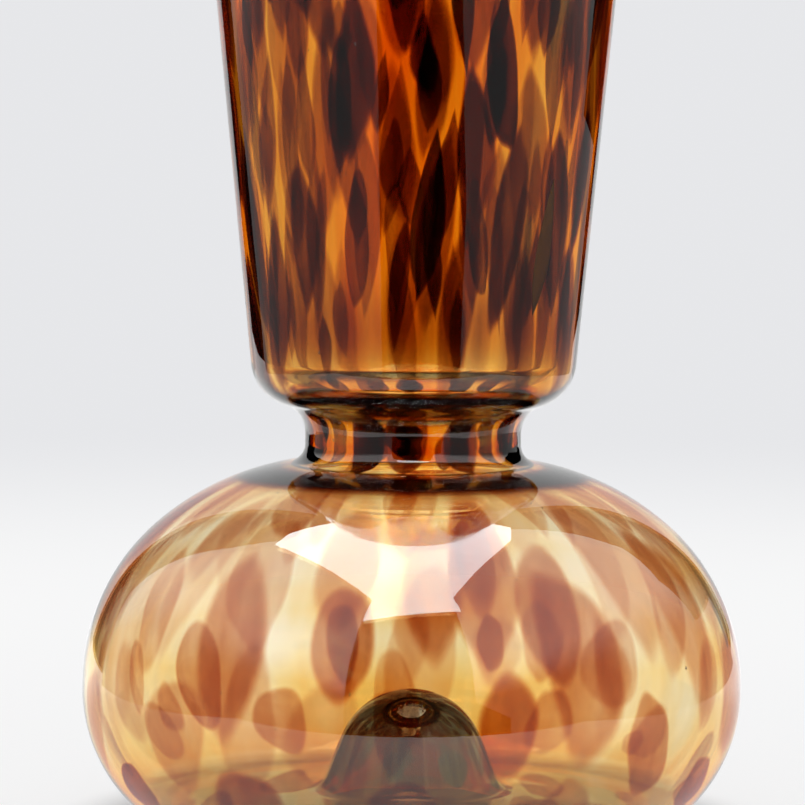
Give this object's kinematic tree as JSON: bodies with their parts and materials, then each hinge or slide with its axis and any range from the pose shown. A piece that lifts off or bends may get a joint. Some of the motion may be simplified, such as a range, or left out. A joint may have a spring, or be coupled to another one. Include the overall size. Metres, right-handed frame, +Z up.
{
  "type": "glass vase",
  "caption": "Gourd-shaped vase of cased tortoiseshell glass: flared neck, tight waist, squat round bulb and a pushed-up base; holds water and cut stems.",
  "frame": {"origin": "centre of the foot ring, on the surface the vase stands on", "axes": "+Z up along the vase's axis, -Y to the front"},
  "size_m": [0.22, 0.22, 0.3],
  "materials": {
    "clear_glass": "fire-polished clear glass",
    "amber_glass": "smooth transparent amber glass",
    "brown_glass": "dark brown glass chips, fused under the casing"
  },
  "bodies": {
    "root": {"clear_casing": "clear_glass", "amber_lining": "amber_glass", "neck_chips": "brown_glass", "waist_chips": "brown_glass", "bulb_chips": "brown_glass", "base_chips": "brown_glass"}
  },
  "joints": []
}
